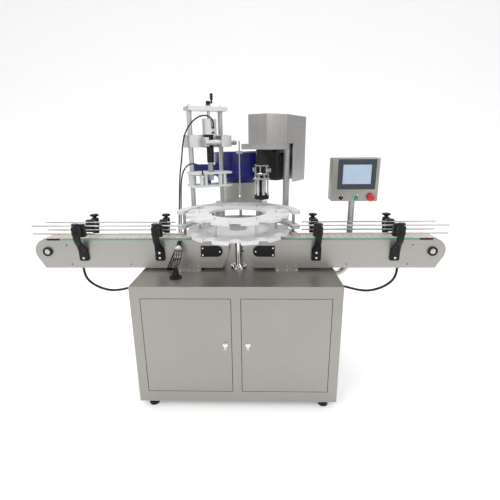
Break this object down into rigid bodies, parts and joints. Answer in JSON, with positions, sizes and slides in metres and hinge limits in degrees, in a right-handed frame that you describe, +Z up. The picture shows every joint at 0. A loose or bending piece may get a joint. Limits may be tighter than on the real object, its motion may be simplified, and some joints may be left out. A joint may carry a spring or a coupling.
{
  "type": "capping machine",
  "caption": "Rotary capping machine: two slat conveyors meet a star wheel on a steel cabinet, with a cap placer, a capping head, a bowl feeder and an operator panel.",
  "frame": {"origin": "on the floor, below the star wheel's axis", "axes": "+X along the conveyors from infeed to outfeed, +Y from the doors to the back, +Z up"},
  "size_m": [2.126, 1.0865, 1.566],
  "materials": {
    "cabinet_steel": "brushed",
    "conveyor_steel": "brushed",
    "cover_steel": "polished",
    "shaft_steel": "turned",
    "rail_steel": "drawn",
    "grey_metal": "satin",
    "motor_grey": "satin",
    "base_paint": "satin",
    "chrome_trim": "polished",
    "aluminium": "satin",
    "black_plastic": "moulded",
    "slat_beige": "moulded",
    "green_plastic": "extruded",
    "white_plastic": "machined",
    "pale_plastic": "machined",
    "blue_plastic": "moulded",
    "green_button": "moulded",
    "red_button": "moulded",
    "cable_rubber": "smooth"
  },
  "bodies": {
    "frame": {"cabinet_shell": "cabinet_steel", "levelling_feet": "black_plastic", "electrics_plate": "grey_metal", "gearmotors": "motor_grey", "left_conveyor_frame": "conveyor_steel", "right_conveyor_frame": "conveyor_steel", "left_side_cable": "cable_rubber", "right_side_cable": "cable_rubber", "slat_chains": "slat_beige", "wear_strips": "green_plastic", "conveyor_covers": "black_plastic", "rail_arms": "black_plastic", "shaft_bearing": "chrome_trim", "guide_fence": "white_plastic", "fence_posts": "rail_steel", "slide_plate": "white_plastic", "placer_frame": "aluminium", "cap_guide": "pale_plastic", "head_stand": "shaft_steel", "head_cover": "cover_steel", "head_motor": "motor_grey", "feeder_base": "base_paint", "cap_chute": "blue_plastic", "hmi_post": "rail_steel", "hmi_box": "cabinet_steel", "cable_glands": "black_plastic", "lower_air_hose": "cable_rubber", "front_leads": "cable_rubber"},
    "left_door": {"left_door": "cabinet_steel"},
    "right_door": {"right_door": "cabinet_steel"},
    "left_latch": {"left_door_latch": "chrome_trim"},
    "right_latch": {"right_door_latch": "chrome_trim"},
    "left_outer_drum": {"left_outer_shaft": "shaft_steel"},
    "right_outer_drum": {"right_outer_shaft": "shaft_steel"},
    "left_inner_drum": {"left_inner_shaft": "shaft_steel"},
    "right_inner_drum": {"right_inner_shaft": "shaft_steel"},
    "left_front_guide": {"left_front_rail": "rail_steel"},
    "right_front_guide": {"right_front_rail": "rail_steel"},
    "left_rear_guide": {"left_rear_rail": "rail_steel"},
    "right_rear_guide": {"right_rear_rail": "rail_steel"},
    "left_inner_clamp": {"left_inner_knob": "black_plastic"},
    "right_inner_clamp": {"right_inner_knob": "black_plastic"},
    "left_outer_clamp": {"left_outer_knob": "black_plastic"},
    "right_outer_clamp": {"right_outer_knob": "black_plastic"},
    "star": {"star_shaft": "chrome_trim", "lower_star_disc": "white_plastic", "upper_star_disc": "white_plastic", "star_standoffs": "shaft_steel"},
    "crank": {"lead_screw": "shaft_steel", "crank_handle": "black_plastic"},
    "carriage": {"placer_carriage": "aluminium", "placer_cylinder": "aluminium", "upper_air_hose": "cable_rubber"},
    "pusher": {"placing_rod": "shaft_steel"},
    "quill": {"spindle": "black_plastic"},
    "turning_chuck": {"chuck": "chrome_trim"},
    "bowl": {"feeder_bowl": "blue_plastic"},
    "selector": {"mode_switch": "black_plastic"},
    "start": {"start_button": "green_button"},
    "stop": {"stop_button": "red_button"}
  },
  "joints": [
    {"name": "left_door_hinge", "type": "hinge", "parent": "frame", "child": "left_door", "pos_m": [-0.444, -0.283, 0.35], "axis": [0, 0, -1], "range_deg": [0, 110]},
    {"name": "right_door_hinge", "type": "hinge", "parent": "frame", "child": "right_door", "pos_m": [0.444, -0.283, 0.35], "axis": [0, 0, 1], "range_deg": [0, 110]},
    {"name": "left_latch_turn", "type": "hinge", "parent": "left_door", "child": "left_latch", "pos_m": [-0.055, -0.288, 0.364], "axis": [0, 1, 0], "range_deg": [0, 90]},
    {"name": "right_latch_turn", "type": "hinge", "parent": "right_door", "child": "right_latch", "pos_m": [0.055, -0.288, 0.364], "axis": [0, -1, 0], "range_deg": [0, 90]},
    {"name": "left_drive_shaft_turn", "type": "hinge", "parent": "frame", "child": "left_outer_drum", "pos_m": [-0.99, 0, 0.77], "axis": [0, 1, 0], "continuous": true},
    {"name": "left_idler_shaft_turn", "type": "hinge", "parent": "frame", "child": "left_inner_drum", "pos_m": [-0.112, 0, 0.77], "axis": [0, 1, 0], "continuous": true},
    {"name": "right_drive_shaft_turn", "type": "hinge", "parent": "frame", "child": "right_outer_drum", "pos_m": [0.99, 0, 0.77], "axis": [0, 1, 0], "continuous": true},
    {"name": "right_idler_shaft_turn", "type": "hinge", "parent": "frame", "child": "right_inner_drum", "pos_m": [0.112, 0, 0.77], "axis": [0, 1, 0], "continuous": true},
    {"name": "left_front_rail_slide", "type": "slide", "parent": "frame", "child": "left_front_guide", "axis": [0, 1, 0], "range_m": [-0.012, 0.012]},
    {"name": "left_rear_rail_slide", "type": "slide", "parent": "frame", "child": "left_rear_guide", "axis": [0, 1, 0], "range_m": [-0.012, 0.012]},
    {"name": "right_front_rail_slide", "type": "slide", "parent": "frame", "child": "right_front_guide", "axis": [0, 1, 0], "range_m": [-0.012, 0.012]},
    {"name": "right_rear_rail_slide", "type": "slide", "parent": "frame", "child": "right_rear_guide", "axis": [0, 1, 0], "range_m": [-0.012, 0.012]},
    {"name": "left_inner_knob_turn", "type": "hinge", "parent": "frame", "child": "left_inner_clamp", "pos_m": [-0.402, 0.112, 0.925], "axis": [0, 0, 1], "continuous": true},
    {"name": "left_outer_knob_turn", "type": "hinge", "parent": "frame", "child": "left_outer_clamp", "pos_m": [-0.8, 0.112, 0.925], "axis": [0, 0, 1], "continuous": true},
    {"name": "right_inner_knob_turn", "type": "hinge", "parent": "frame", "child": "right_inner_clamp", "pos_m": [0.402, 0.112, 0.925], "axis": [0, 0, 1], "continuous": true},
    {"name": "right_outer_knob_turn", "type": "hinge", "parent": "frame", "child": "right_outer_clamp", "pos_m": [0.8, 0.112, 0.925], "axis": [0, 0, 1], "continuous": true},
    {"name": "star_wheel_turn", "type": "hinge", "parent": "frame", "child": "star", "pos_m": [0, 0, 0.8], "axis": [0, 0, 1], "continuous": true},
    {"name": "crank_turn", "type": "hinge", "parent": "frame", "child": "crank", "pos_m": [-0.17407, 0.3175, 1.49], "axis": [0, 0, 1], "range_deg": [-1440, 1440]},
    {"name": "carriage_lift", "type": "slide", "parent": "frame", "child": "carriage", "axis": [0, 0, 1], "range_m": [-0.02, 0.02], "deforming": ["upper_air_hose"]},
    {"name": "cap_pusher_stroke", "type": "slide", "parent": "carriage", "child": "pusher", "axis": [0, 0, -1], "range_m": [0, 0.06]},
    {"name": "quill_stroke", "type": "slide", "parent": "frame", "child": "quill", "axis": [0, 0, -1], "range_m": [0, 0.025]},
    {"name": "chuck_turn", "type": "hinge", "parent": "quill", "child": "turning_chuck", "pos_m": [0.125, 0.21651, 1.1], "axis": [0, 0, 1], "continuous": true},
    {"name": "bowl_shake", "type": "hinge", "parent": "frame", "child": "bowl", "pos_m": [-0.008, 0.61, 1.1], "axis": [0, 0, 1], "range_deg": [-1, 1], "stiffness_Nm_per_rad": 500},
    {"name": "mode_switch_turn", "type": "hinge", "parent": "frame", "child": "selector", "pos_m": [0.535, 0.06, 1.027], "axis": [0, 1, 0], "range_deg": [-45, 45]},
    {"name": "start_button_press", "type": "slide", "parent": "frame", "child": "start", "axis": [0, 1, 0], "range_m": [0, 0.004], "stiffness_N_per_m": 800},
    {"name": "stop_button_press", "type": "slide", "parent": "frame", "child": "stop", "axis": [0, 1, 0], "range_m": [0, 0.006], "stiffness_N_per_m": 1000}
  ],
  "couplings": [
    {"joint": "left_idler_shaft_turn", "follows": "left_drive_shaft_turn", "ratio": 1},
    {"joint": "right_idler_shaft_turn", "follows": "right_drive_shaft_turn", "ratio": 1},
    {"joint": "crank_turn", "follows": "carriage_lift", "rad_per_m": 1256.6}
  ]
}
